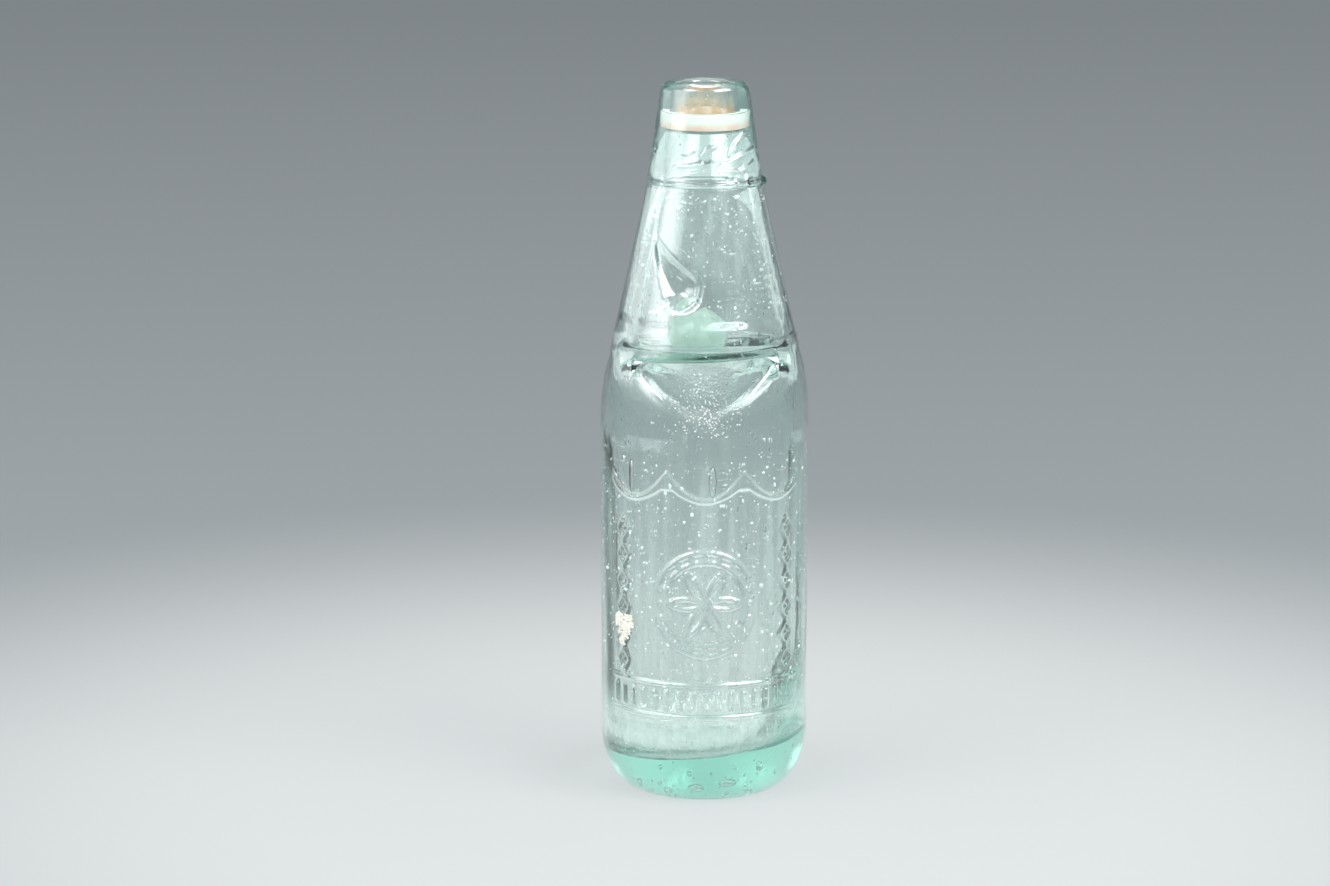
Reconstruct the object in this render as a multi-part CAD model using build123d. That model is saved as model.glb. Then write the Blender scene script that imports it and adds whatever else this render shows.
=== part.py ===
from build123d import *
import os
from math import asin, cos, degrees, radians, sin, sqrt

# Marble stopper bottle in millimetres. +Z runs up the bottle, the origin is the
# centre of the base and -Y is the front, the side with the teardrop lug.
# Four pieces: the blown glass body, the lip of hot glass laid on its neck, the
# glass marble, and the rubber ring in the lip that the marble seals against.

# Glass body, outside
body_radius = 33.0
neck_radius = 18.0
shoulder_height = 128.0
shoulder_rise = 66.2
shoulder_bend = 88.0
heel_width = 13.0
heel_height = 20.0
rest_ring_width = 4.5
kick_height = 2.2
kick_round = 6.0

# Glass body, inside
wall = 4.2
neck_bore_radius = 13.2
floor_height = 15.2
floor_tilt = 5.5
floor_corner = 8.0

# Waist: a pinch on the front and one on the back leave a slot between two shelves
ledge_rise = 12.5
ledge_nose_radius = 31.0
ramp_height = 16.0
pinch_foot_radius = 5.0
pinch_wall = 3.0
ledge_wall = 2.7
crease_round = 1.2
pinch_rim_round = 1.8
slot_half_gap = 8.4
shelf_bow_radius = 200.0
shelf_foot_radius = 12.0
shelf_round = 2.5
shelf_under_round = 1.5
shelf_root_round = 2.0

# Teardrop lug pressed into the front of the marble chamber
lug_radius = 6.3
lug_depth = 4.6
lug_rise = 23.8
lug_turn = 19.0
lug_tip_rise = 12.3
lug_tip_turn = 43.0
lug_tip_radius = 1.0
lug_tip_depth = 0.6
lug_wall = 3.2
lug_rim_round = 1.0

# Applied lip
lip_height = 31.8
lap_height = 3.0
lap_wall = 1.6
lap_clearance = 0.05
lip_base_radius = 18.3
lip_bead_height = 1.8
lip_bead_step = 0.45
lip_top_radius = 13.5
lip_top_round = 3.4
mouth_radius = 7.2
mouth_round = 1.4
groove_radius = 9.3
groove_top_drop = 10.2
retainer_radius = 8.4
retainer_height = 0.8
marble_seat_margin = 1.1

# Rubber ring
ring_height = 5.3
ring_inner_radius = 6.4
ring_crown = 0.45
ring_round = 0.6
ring_clearance = 0.05

# Marble
marble_radius = 9.3
marble_offset = 2.0
marble_clearance = 0.2

overrun = 1.0

seam_height = shoulder_height + shoulder_rise
lip_top = seam_height + lip_height
groove_top = lip_top - groove_top_drop
groove_bottom = groove_top - ring_height - 2 * ring_clearance
cavity_radius = body_radius - wall
contact_radius = body_radius - heel_width
kick_radius = contact_radius - rest_ring_width
shoulder_slope = (body_radius - neck_radius) / shoulder_rise
cavity_slope = (cavity_radius - neck_bore_radius) / shoulder_rise
ledge_height = shoulder_height + ledge_rise
pinch_foot_height = ledge_height - ramp_height
pinch_nose = slot_half_gap + pinch_wall
pinch_slope = (body_radius + overrun - pinch_nose) / ramp_height
shelf_height = ledge_height + ledge_wall
lug_height = ledge_height + lug_rise
lug_tip_height = lug_height + lug_tip_rise
lap_radius = neck_radius - lap_wall


def blown_shape():
    """The outside of the body, solid, before the waist is pinched."""
    lap_top = seam_height + lap_height
    with BuildSketch(Plane.XZ) as profile:
        with BuildLine():
            TangentArc((0, kick_height), (kick_radius, 0), tangent=(1, 0))
            Line((kick_radius, 0), (contact_radius, 0))
            EllipticalCenterArc(
                (contact_radius, heel_height), heel_width, heel_height, -90, arc_size=90
            )
            FilletPolyline(
                (body_radius, heel_height),
                (body_radius, shoulder_height),
                (neck_radius, seam_height),
                radius=shoulder_bend,
            )
            Polyline(
                (neck_radius, seam_height),
                (lap_radius, seam_height),
                (lap_radius, lap_top),
                (0, lap_top),
                (0, kick_height),
            )
        make_face()
        kick_rim = profile.vertices().sort_by_distance((kick_radius, 0, 0))[0]
        fillet(kick_rim, kick_round)
    return revolve(profile.sketch, Axis.Z)


def nose_disc(height, radius, nose):
    """Disc in front of the body, reaching in as far as the nose."""
    return Plane.XY.offset(height) * Pos(0, -nose - radius) * Circle(radius)


def rings(solid):
    """The round edges of a solid, the lowest first."""
    return solid.edges().filter_by(GeomType.CIRCLE).sort_by(Axis.Z)


def pinch_outside():
    """What a pinch takes from the outside: a flat ledge over a ramp that narrows."""
    ledge = nose_disc(ledge_height, ledge_nose_radius, pinch_nose)
    foot = nose_disc(pinch_foot_height, pinch_foot_radius, body_radius + overrun)
    cone = loft([ledge, foot], ruled=True)
    return fillet(rings(cone)[-1], crease_round)


def pinch_inside():
    """The same pinch in the cavity: the shelf of the slot and the ramp under it."""
    slant = sqrt(1 + pinch_slope**2)
    under_height = ledge_height - pinch_wall * (slant - 1) / pinch_slope
    foot_height = pinch_foot_height - pinch_wall * slant / pinch_slope
    under = nose_disc(under_height, shelf_bow_radius, slot_half_gap)
    foot = nose_disc(foot_height, shelf_foot_radius, body_radius + overrun)
    shelf = extrude(under, amount=shelf_height - under_height, dir=(0, 0, 1))
    shelf += loft([under, foot], ruled=True)
    shelf = fillet(rings(shelf)[-1], shelf_round)
    return fillet(rings(shelf)[1], shelf_under_round)


def lug_point(height, turn, stand_off):
    """Point off the shoulder cone, turned from the front towards -X."""
    reach = neck_radius + shoulder_slope * (seam_height - height) + stand_off
    return Vector(-reach * sin(radians(turn)), -reach * cos(radians(turn)), height)


def teardrop(growth):
    """A large ball at the lug's bulb drawn out to a small one at its tip."""
    bulb_radius = lug_radius + growth
    tip_radius = lug_tip_radius + growth
    bulb = lug_point(lug_height, lug_turn, lug_radius - lug_depth)
    tip = lug_point(lug_tip_height, lug_tip_turn, lug_tip_radius - lug_tip_depth)
    length = (tip - bulb).length
    lean = degrees(asin((bulb_radius - tip_radius) / length))
    with BuildSketch(Plane.XZ) as profile:
        with BuildLine():
            bulb_arc = CenterArc((0, 0), bulb_radius, -90, 90 + lean)
            tip_arc = CenterArc((0, length), tip_radius, lean, 90 - lean)
            Line(bulb_arc @ 1, tip_arc @ 0)
            Line(tip_arc @ 1, bulb_arc @ 0)
        make_face()
    return Plane(origin=bulb, z_dir=tip - bulb) * revolve(profile.sketch, Axis.Z)


def press(shape, tool, rounding):
    """Press a tool into a shape and soften the rim that it leaves."""
    pressed = shape - tool
    return fillet(new_edges(shape, tool, combined=pressed), rounding)


def glass_outside():
    pinch = pinch_outside()
    shape = press(blown_shape(), pinch, pinch_rim_round)
    shape = press(shape, pinch.mirror(Plane.XZ), pinch_rim_round)
    return press(shape, teardrop(0), lug_rim_round)


def cavity():
    """The air in the body, from the floor to the top of the neck."""
    above = seam_height + lap_height + overrun
    above_radius = neck_bore_radius - cavity_slope * (above - seam_height)
    with BuildSketch(Plane.XZ) as profile:
        with BuildLine():
            FilletPolyline(
                (cavity_radius, 0),
                (cavity_radius, shoulder_height),
                (above_radius, above),
                radius=shoulder_bend,
            )
            Polyline((above_radius, above), (0, above), (0, 0), (cavity_radius, 0))
        make_face()
    air = revolve(profile.sketch, Axis.Z)
    depth = floor_height + body_radius
    floor = Pos(0, 0, floor_height) * Rot(0, -floor_tilt, 0) * Pos(0, 0, -depth / 2)
    air -= floor * Cylinder(2 * body_radius, depth)
    air = fillet(air.edges().sort_by(Axis.Z)[0], floor_corner)
    pinch = pinch_inside()
    air = press(air, pinch, shelf_root_round)
    air = press(air, pinch.mirror(Plane.XZ), shelf_root_round)
    return air - teardrop(lug_wall)


def glass_body():
    return glass_outside() - cavity()


def applied_lip():
    bead_top = seam_height + lip_bead_height
    waist_radius = lip_base_radius - lip_bead_step
    seat_height = groove_bottom - sqrt(marble_radius**2 - ring_inner_radius**2)
    lap_top = seam_height + lap_height + lap_clearance
    with BuildSketch(Plane.XZ) as profile:
        with BuildLine():
            FilletPolyline(
                (waist_radius, bead_top),
                (lip_top_radius, lip_top),
                (mouth_radius, lip_top),
                (mouth_radius, groove_top),
                radius=[lip_top_round, mouth_round],
            )
            Polyline(
                (mouth_radius, groove_top),
                (groove_radius, groove_top),
                (groove_radius, groove_bottom),
                (retainer_radius, groove_bottom),
                (retainer_radius, groove_bottom - retainer_height),
                (marble_radius + marble_seat_margin, seat_height),
                (neck_bore_radius - cavity_slope * lap_height, lap_top),
                (lap_radius + lap_clearance, lap_top),
                (lap_radius + lap_clearance, seam_height),
                (waist_radius, seam_height),
            )
            ThreePointArc(
                (waist_radius, seam_height),
                (lip_base_radius, seam_height + lip_bead_height / 2),
                (waist_radius, bead_top),
            )
        make_face()
    return revolve(profile.sketch, Axis.Z)


def sealing_ring():
    bottom = groove_bottom + ring_clearance
    outside = groove_radius - ring_clearance
    crown_radius = ring_inner_radius + ring_crown
    with BuildSketch(Plane.XZ) as profile:
        with BuildLine():
            Polyline(
                (crown_radius, bottom),
                (outside, bottom),
                (outside, bottom + ring_height),
                (crown_radius, bottom + ring_height),
            )
            ThreePointArc(
                (crown_radius, bottom + ring_height),
                (ring_inner_radius, bottom + ring_height / 2),
                (crown_radius, bottom),
            )
        make_face()
        fillet(profile.vertices(), ring_round)
    return revolve(profile.sketch, Axis.Z)


def marble():
    """The marble at rest in the slot, on the rounded edges of both shelves."""
    reach = marble_radius + marble_clearance + shelf_round
    lift = sqrt(reach**2 - (slot_half_gap + shelf_round) ** 2)
    return Pos(-marble_offset, 0, shelf_height - shelf_round + lift) * Sphere(marble_radius)


if __name__ == "__main__":
    os.makedirs("parts", exist_ok=True)
    pieces = {
        "glass_body": glass_body(),
        "applied_lip": applied_lip(),
        "sealing_ring": sealing_ring(),
        "marble": marble(),
    }
    for name, piece in pieces.items():
        export_step(piece, f"parts/{name}.step")
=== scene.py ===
import math
from functools import partial
import bmesh
import bpy
import numpy as np
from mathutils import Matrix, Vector


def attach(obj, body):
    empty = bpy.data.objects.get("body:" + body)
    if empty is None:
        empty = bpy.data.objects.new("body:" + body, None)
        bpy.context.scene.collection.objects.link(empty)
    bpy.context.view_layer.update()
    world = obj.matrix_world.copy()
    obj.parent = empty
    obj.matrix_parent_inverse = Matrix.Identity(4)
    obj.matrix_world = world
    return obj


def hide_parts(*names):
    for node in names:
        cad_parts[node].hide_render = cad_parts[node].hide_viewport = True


# A marble stopper bottle: a blown body of aqua glass, a lip of hot glass laid on its neck,
# a loose glass marble and the rubber ring that it seals against.
# Sizes in the dictionaries are millimetres and degrees. Heights are above the base, and
# turns go round the bottle from its front, positive towards +X.
mm = 0.001

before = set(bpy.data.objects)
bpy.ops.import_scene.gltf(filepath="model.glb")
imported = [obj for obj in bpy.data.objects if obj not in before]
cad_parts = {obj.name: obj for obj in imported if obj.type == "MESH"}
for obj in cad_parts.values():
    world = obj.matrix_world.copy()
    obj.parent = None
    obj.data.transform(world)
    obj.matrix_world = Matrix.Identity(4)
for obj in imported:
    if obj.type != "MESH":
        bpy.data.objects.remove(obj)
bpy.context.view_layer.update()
print("frame loaded")


# Shape helpers

def smoothStep(value):
    value = np.clip(value, 0, 1)
    return value * value * (3 - 2 * value)


def smoothMin(first, second, soft):
    share = np.clip(0.5 + 0.5 * (second - first) / soft, 0, 1)
    return second + (first - second) * share - soft * share * (1 - share)


def roundedPath(corners, step=0.35):
    # corners are (distance from the axis, height, rounding)
    path = [np.array(corners[0][:2], float)]
    for before, corner, after in zip(corners, corners[1:], corners[2:]):
        spot = np.array(corner[:2], float)
        back = np.array(before[:2], float) - spot
        ahead = np.array(after[:2], float) - spot
        back /= np.linalg.norm(back)
        ahead /= np.linalg.norm(ahead)
        half = math.acos(back @ ahead) / 2
        turn = math.pi - 2 * half
        centre = spot + (back + ahead) / np.linalg.norm(back + ahead) * corner[2] / math.sin(half)
        start = spot + back * corner[2] / math.tan(half) - centre
        end = spot + ahead * corner[2] / math.tan(half) - centre
        for share in np.linspace(0, 1, max(2, int(corner[2] * turn / step)) + 1):
            path.append(centre + (start * math.sin((1 - share) * turn) + end * math.sin(share * turn))
                        / math.sin(turn))
    path.append(np.array(corners[-1][:2], float))
    return np.array(path)


def finer(path, longest):
    # the same path with no step longer than the longest
    rows = [path[0]]
    for start, end in zip(path, path[1:]):
        count = max(1, math.ceil(np.linalg.norm(end - start) / longest))
        rows += [start + (end - start) * (k + 1) / count for k in range(count)]
    return np.array(rows)


def wrap(turn):
    # the same turn, between half a round back and half a round ahead
    return (turn + math.pi) % (2 * math.pi) - math.pi


def spreadTurns(count, crowded=()):
    # count turns round the bottle from the back, closer together in the crowded windows,
    # which are (middle, half width, how much denser)
    fine = np.linspace(-math.pi, math.pi, 7201)
    weight = np.ones_like(fine)
    for middle, halfWidth, denser in crowded:
        off = np.abs(wrap(fine - math.radians(middle)))
        weight += denser * smoothStep((math.radians(halfWidth) - off) / math.radians(12) + 0.5)
    total = np.concatenate([[0], np.cumsum((weight[1:] + weight[:-1]) / 2)])
    return np.interp(np.arange(count) * total[-1] / count, total, fine)


def spin(path, turns):
    return {"turns": turns,
            "radius": np.repeat(path[:, :1], len(turns), axis=1),
            "height": np.repeat(path[:, 1:], len(turns), axis=1)}


def tube(radii, heights, turns):
    # one radius, or one for each height
    return spin(np.column_stack([np.broadcast_to(radii, heights.shape), heights]), turns)


def reverseRows(zone):
    return {"turns": zone["turns"], "radius": zone["radius"][::-1], "height": zone["height"][::-1]}


def zonePoints(turns, radius, height):
    places = np.stack([radius * np.sin(turns), -radius * np.cos(turns), height], axis=2)
    return places.reshape(-1, 3).tolist()


def stitch(first, firstTurns, second, secondTurns):
    # triangles between two rings that have different numbers of points
    lowerTurns = list(firstTurns) + [firstTurns[0] + 2 * math.pi]
    upperTurns = list(secondTurns) + [secondTurns[0] + 2 * math.pi]
    lowerCount, upperCount = len(firstTurns), len(secondTurns)
    faces, i, j = [], 0, 0
    while i < lowerCount or j < upperCount:
        if j == upperCount or (i < lowerCount and lowerTurns[i + 1] <= upperTurns[j + 1]):
            faces.append((first + i, first + (i + 1) % lowerCount, second + j % upperCount))
            i += 1
        else:
            faces.append((first + i % lowerCount, second + (j + 1) % upperCount, second + j))
            j += 1
    return faces


def closedShell(zones, firstPole, lastPole):
    # one closed surface through all zones, from a point on the axis to another one
    points, faces, starts = [(0, 0, firstPole)], [], []
    for zone in zones:
        starts.append(len(points))
        points += zonePoints(**zone)
        rows, columns = zone["radius"].shape
        index = starts[-1] + np.arange(rows * columns).reshape(rows, columns)
        beside = np.roll(index, -1, axis=1)
        corners = [index[:-1], beside[:-1], beside[1:], index[1:]]
        faces += np.stack(corners, axis=2).reshape(-1, 4).tolist()
    for lower, upper, start, nextStart in zip(zones, zones[1:], starts, starts[1:]):
        faces += stitch(nextStart - len(lower["turns"]), lower["turns"], nextStart, upper["turns"])
    firstCount = len(zones[0]["turns"])
    faces += [(0, starts[0] + (j + 1) % firstCount, starts[0] + j) for j in range(firstCount)]
    lastCount = len(zones[-1]["turns"])
    lastRing = len(points) - lastCount
    faces += [(lastRing + j, lastRing + (j + 1) % lastCount, len(points)) for j in range(lastCount)]
    points.append((0, 0, lastPole))
    return points, faces


def meshPiece(name, points, faces, material):
    mesh = bpy.data.meshes.new(name)
    mesh.from_pydata((np.array(points) * mm).tolist(), [], faces)
    mesh.shade_smooth()
    mesh.materials.append(material)
    piece = bpy.data.objects.new(name, mesh)
    bpy.context.scene.collection.objects.link(piece)
    return piece


# Material helpers

multiply = {"operation": "MULTIPLY"}
smooth = {"interpolation_type": "SMOOTHSTEP"}


def linear(hexColour):
    parts = [int(hexColour[k:k + 2], 16) / 255 for k in (1, 3, 5)]
    return tuple(c / 12.92 if c <= 0.04045 else ((c + 0.055) / 1.055) ** 2.4 for c in parts) + (1,)


def newMaterial(name):
    # an empty material, what adds a node to it, and the place on the object in metres
    material = bpy.data.materials.new(name)
    material.use_nodes = True
    tree = material.node_tree
    tree.nodes.clear()
    add = partial(addNode, tree)
    return material, add, add("TexCoord").outputs["Object"]


def addNode(tree, kind, settings=None, links=None):
    # settings go to the input or the property of that name, and stops are a ramp's places and
    # colours; links come from a socket, or from a node's first one
    item = tree.nodes.new("ShaderNode" + kind)
    for key, value in (settings or {}).items():
        if key == "stops":
            elements = item.color_ramp.elements
            for _ in value[2:]:
                elements.new(0.5)
            for element, (position, hexColour) in zip(elements, value):
                element.position = position
                element.color = linear(hexColour)
        elif isinstance(key, int) or key in item.inputs:
            item.inputs[key].default_value = value
        else:
            setattr(item, key, value)
    for key, source in (links or {}).items():
        socket = source.outputs[0] if isinstance(source, bpy.types.Node) else source
        tree.links.new(socket, item.inputs[key])
    return item


# The glass of the body and lip

glass = {
    "bodyRadius": 33.0, "neckRadius": 18.0, "seamHeight": 194.2,
    "shoulderHeight": 128.0, "shoulderBend": 88.0,
    "heelWidth": 13.0, "heelHeight": 20.0, "kickRadius": 15.5, "kickHeight": 2.2,
    "wall": 4.2, "neckBore": 13.2, "floorHeight": 15.2, "floorTilt": 5.5, "floorCorner": 8.0,
    "lipHeight": 31.8, "lipBead": 18.35, "lipWaist": 17.85, "lipTop": 13.5, "lipTopRound": 3.4,
    "mouth": 7.2, "mouthRound": 1.4,
    "grooveDrop": 10.3, "grooveTall": 5.2, "grooveRadius": 9.15, "grooveRound": 0.25,
    "retainer": 8.4, "retainerTall": 0.8, "seatRadius": 10.4, "seatDrop": 6.75,
    "seamRidge": 0.22, "seamRidgeWidth": 0.5, "seamSink": 5.0,
}

# Raised ornament on the front: a six-petal rosette in two rings, chains of lozenges beside it,
# swags above and a band of short bars below. The face round it lies as much lower.
ornament = {
    "relief": 0.75, "edge": 0.45, "halfTurn": 63.0, "turnFade": 6.0,
    "bottom": 27.5, "bottomFade": 5.0, "top": 105.0, "topFade": 12.0,
    "rosetteHeight": 66.0, "petals": 6, "petalRadius": 12.0, "rings": (13.4, 16.4), "stroke": 0.75,
    "beads": 20, "beadRadius": 0.75, "boss": 1.7,
    "chainOffset": 29.5, "chainLow": 46.0, "chainHigh": 88.0, "lozenges": 6, "lozengeHalf": (2.7, 3.4),
    "swagSpan": 25.0, "swagHeight": 107.0, "swagDrop": 8.5, "swagGap": 2.6, "dropLength": 5.5,
    "barPitch": 4.2, "barHalf": 0.85, "barMiddle": 34.8, "barReach": 2.2, "bandEdges": (29.6, 40.0),
    "bandHalf": 0.5, "lozengeDot": 0.7, "dropHalf": 1.5,
}

# Blown glass is uneven. Each wave is (waves round, waves per mm up, phase, size).
innerWaves = {
    "waves": ((2, 0.018, 1.1, 0.36), (5, -0.03, 2.0, 0.2), (9, 0.05, 0.4, 0.12), (17, 0.012, 1.7, 0.06),
              (26, -0.008, 0.9, 0.03)),
    "sunk": 0, "lowFade": 10, "highFade": 14,
}
outerWaves = {
    "waves": ((3, 0.05, 0.3, 0.05), (7, -0.07, 1.2, 0.03), (12, 0.1, 2.2, 0.02)),
    "sunk": 0.1, "lowFade": 8, "highFade": 8,
}
heavySide = {"turn": 72.0, "height": 24.0, "turnReach": 26.0, "heightReach": 17.0, "extra": 4.6}

# Each waist surface is the wall, pressed in below its ledge by a round nose that narrows
# downwards. heights, noses and rounds say how far from the axis the nose stands and how round
# it is, from the foot of the ramp up.
outsidePinch = {
    "ledge": 141.4, "heights": (119.5, 122.0, 124.5, 126.5, 128.5, 132.5, 141.4),
    "noses": (34.6, 33.0, 31.6, 29.5, 27.2, 22.4, 11.4), "rounds": (12, 12, 12, 13, 14, 18, 31),
    "edgeSoft": 2.8, "leastLedge": 6.0, "bottom": 118.5, "top": 147.5, "rows": (41, 20, 10),
    "softenings": 4, "lean": 0.04,
}
insidePinch = {
    "ledge": 143.2, "heights": (116.8, 120.8, 135.5, 138.95, 143.2),
    "noses": (39.6, 34.0, 13.3, 8.4, 8.4), "rounds": (7, 7, 30, 80, 200),
    "edgeSoft": 2.2, "leastLedge": 6.0, "bottom": 117.0, "top": 151.0, "rows": (34, 18, 9),
    "softenings": 4, "lean": 0,
}

lug = {
    "radius": 6.3, "depth": 4.6, "height": 164.3, "turn": -19.0, "wall": 3.2,
    "tipRadius": 1.0, "tipDepth": 0.6, "tipHeight": 176.6, "tipTurn": -43.0, "rim": 0.9,
    "balls": 60, "windowTurn": -28.0, "windowLow": 150.0,
}

# points round the bottle in each zone, mm between its rows, and how many places are worked out
fineness = {
    "base": 108, "bodyWall": 210, "waist": 176, "cone": 150, "lip": 150, "bore": 90, "chamber": 108,
    "innerWaist": 130, "drink": 96, "film": 96, "stain": 96,
    "plainRow": 1.3, "ornamentRow": 0.54, "coneRow": 1.1, "lipRow": 0.6, "boreRow": 1.5,
    "chamberRow": 1.2, "drinkRow": 2.6, "floorRow": 2.0, "filmRow": 1.6,
    "rampSamples": 200, "upperSamples": 40, "stainRows": 14,
}


def wallAt(height, inside):
    # distance from the axis to the plain wall, before anything is pressed into it
    thick = glass["wall"] if inside else 0
    neck = glass["neckBore"] if inside else glass["neckRadius"]
    corners = [(glass["bodyRadius"] - thick, 0, 0),
               (glass["bodyRadius"] - thick, glass["shoulderHeight"], glass["shoulderBend"]),
               (neck, glass["seamHeight"], 0)]
    path = roundedPath(corners)
    return np.interp(height, path[:, 1], path[:, 0])


def wallZone(heights, inside, turns):
    return tube(wallAt(heights, inside), heights, turns)


def noseReach(turn, height, pinch):
    # distance from the axis to the pressing nose, and a growing distance past its sides
    nose = np.interp(height, pinch["heights"], pinch["noses"])
    roundness = np.interp(height, pinch["heights"], pinch["rounds"])
    middle = nose + roundness
    left = roundness ** 2 - (middle * np.sin(turn)) ** 2
    return middle * np.cos(turn) - np.sign(left) * np.sqrt(np.abs(left))


def waist(turns, pinch, inside):
    # one column after another: up the ramp, out along the ledge, and up the wall over it
    rampHeights = np.linspace(pinch["bottom"], pinch["ledge"], fineness["rampSamples"])
    upperHeights = np.linspace(pinch["ledge"], pinch["top"], fineness["upperSamples"])
    rampWall, upperWall = wallAt(rampHeights, inside), wallAt(upperHeights, inside)
    heights = np.concatenate([rampHeights, upperHeights])
    columns = []
    for turn in turns:
        fold = min(abs(turn), math.pi - abs(turn))
        ramp = smoothMin(rampWall, noseReach(fold, rampHeights, pinch), pinch["edgeSoft"])
        path = np.column_stack([np.concatenate([ramp, upperWall]), heights])
        along = np.concatenate([[0], np.cumsum(np.linalg.norm(np.diff(path, axis=0), axis=1))])
        crease, rim = along[len(rampHeights) - 1], along[len(rampHeights)]
        spare = max(0, pinch["leastLedge"] - (rim - crease)) / 2
        rampRows, ledgeRows, upperRows = pinch["rows"]
        stops = np.concatenate([np.linspace(0, crease - spare, rampRows, endpoint=False),
                                np.linspace(crease - spare, rim + spare, ledgeRows, endpoint=False),
                                np.linspace(rim + spare, along[-1], upperRows)])
        columns.append(np.column_stack([np.interp(stops, along, path[:, k]) for k in (0, 1)]))
    grid = np.array(columns).transpose(1, 0, 2)
    zone = {"turns": turns, "radius": grid[:, :, 0].copy(), "height": grid[:, :, 1].copy()}
    soften(zone, pinch["softenings"])
    nearLedge = smoothStep(np.arange(len(grid)) / 12) * smoothStep(np.arange(len(grid))[::-1] / 8)
    zone["height"] += pinch["lean"] * nearLedge[:, None] * zone["radius"] * np.sin(turns)
    return zone


def soften(zone, rounds, pull=0.8, endRows=4):
    # each point is pulled to the middle of its four neighbours, less near the zone's ends, so that
    # pressed edges turn as soft as blown glass
    rows = zone["radius"].shape[0]
    fade = np.clip(np.minimum(np.arange(rows), np.arange(rows)[::-1]) / endRows, 0, 1)[:, None]
    for _ in range(rounds):
        for key in ("radius", "height"):
            value = zone[key]
            mean = value.copy()
            mean[1:-1] = (value[:-2] + value[2:] + np.roll(value, 1, 1)[1:-1]
                          + np.roll(value, -1, 1)[1:-1]) / 4
            zone[key] = value + pull * fade * (mean - value)


def lugReach(turns, height, growth):
    # distance from the axis to the teardrop, a row of balls from its bulb to its tip
    reach = np.full(height.shape, 1000.0)
    for share in np.linspace(0, 1, lug["balls"]):
        ball = (lug["radius"] + growth) * (1 - share) + (lug["tipRadius"] + growth) * share
        ballHeight = lug["height"] * (1 - share) + lug["tipHeight"] * share
        ballTurn = math.radians(lug["turn"] * (1 - share) + lug["tipTurn"] * share)
        sunk = (lug["radius"] - lug["depth"]) * (1 - share)
        sunk = sunk + (lug["tipRadius"] - lug["tipDepth"]) * share
        out = wallAt(ballHeight, False) + sunk
        near = out * np.cos(turns - ballTurn)
        left = ball ** 2 - (out * np.sin(turns - ballTurn)) ** 2 - (height - ballHeight) ** 2
        hit = near - np.sqrt(np.maximum(left, 0))
        reach = np.where((left > 0) & (near > 0), np.minimum(reach, hit), reach)
    return reach


def pressLug(zone, growth):
    reach = lugReach(zone["turns"], zone["height"], growth)
    zone["radius"] = smoothMin(zone["radius"], reach, lug["rim"])


def nearLug(turn, height, window):
    # the teardrop's window runs so far to each side of its middle and up to the top
    halfTurn, top = window
    return abs(math.degrees(turn) - lug["windowTurn"]) < halfTurn and lug["windowLow"] < height < top


def raised(distance, half):
    return smoothStep((half - distance) / ornament["edge"] + 0.5)


def ornamentAt(across, height):
    # how far the ornament stands out, from 0 to 1, at a place on the unrolled front
    level = height - ornament["rosetteHeight"]
    out, stroke, petal = np.hypot(across, level), ornament["stroke"], ornament["petalRadius"]
    shapes = [raised(np.abs(out - ring), stroke) for ring in ornament["rings"]]
    shapes.append(raised(out, ornament["boss"]))
    inRosette = smoothStep((petal + 0.3 - out) / 0.6)
    for turn in np.arange(ornament["petals"]) * 2 * math.pi / ornament["petals"]:
        arc = np.hypot(across - petal * math.cos(turn), level - petal * math.sin(turn))
        shapes.append(raised(np.abs(arc - petal), stroke * 0.85) * inRosette)
    beadRing = sum(ornament["rings"]) / 2
    for turn in np.arange(ornament["beads"]) * 2 * math.pi / ornament["beads"]:
        bead = np.hypot(across - beadRing * math.cos(turn), level - beadRing * math.sin(turn))
        shapes.append(raised(bead, ornament["beadRadius"]))
    halfWide, halfTall = ornament["lozengeHalf"]
    for middle in np.linspace(ornament["chainLow"], ornament["chainHigh"], ornament["lozenges"]):
        aside = np.abs(np.abs(across) - ornament["chainOffset"])
        edge = np.abs(aside / halfWide + np.abs(height - middle) / halfTall - 1)
        shapes.append(raised(edge * halfWide * 0.78, stroke * 0.8))
        shapes.append(raised(np.hypot(aside, height - middle), ornament["lozengeDot"]))
    span = ornament["swagSpan"]
    along = (across + span / 2) % span / span * 2 - 1
    slope = np.hypot(1, 4 * ornament["swagDrop"] * along / span)
    for gap, half in ((0, stroke), (ornament["swagGap"], stroke * 0.7)):
        curve = ornament["swagHeight"] - (ornament["swagDrop"] - gap) * (1 - along ** 2) - gap
        shapes.append(raised(np.abs(height - curve) / slope, half))
    fromKnot = (1 - np.abs(along)) * span / 2
    below = ornament["swagHeight"] - height
    dropHalf = ornament["dropHalf"] * np.sqrt(np.clip(below / ornament["dropLength"], 0, 1))
    hanging = smoothStep((ornament["dropLength"] - below) / 0.8) * (below > 0)
    shapes.append(raised(fromKnot - dropHalf, 0.2) * hanging)
    halfPitch = ornament["barPitch"] / 2
    fromBar = np.abs((across + halfPitch) % ornament["barPitch"] - halfPitch)
    beyond = np.maximum(np.abs(height - ornament["barMiddle"]) - ornament["barReach"], 0)
    shapes.append(raised(np.hypot(fromBar, beyond), ornament["barHalf"]))
    shapes += [raised(np.abs(height - edge), ornament["bandHalf"]) for edge in ornament["bandEdges"]]
    return np.maximum.reduce(shapes)


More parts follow.
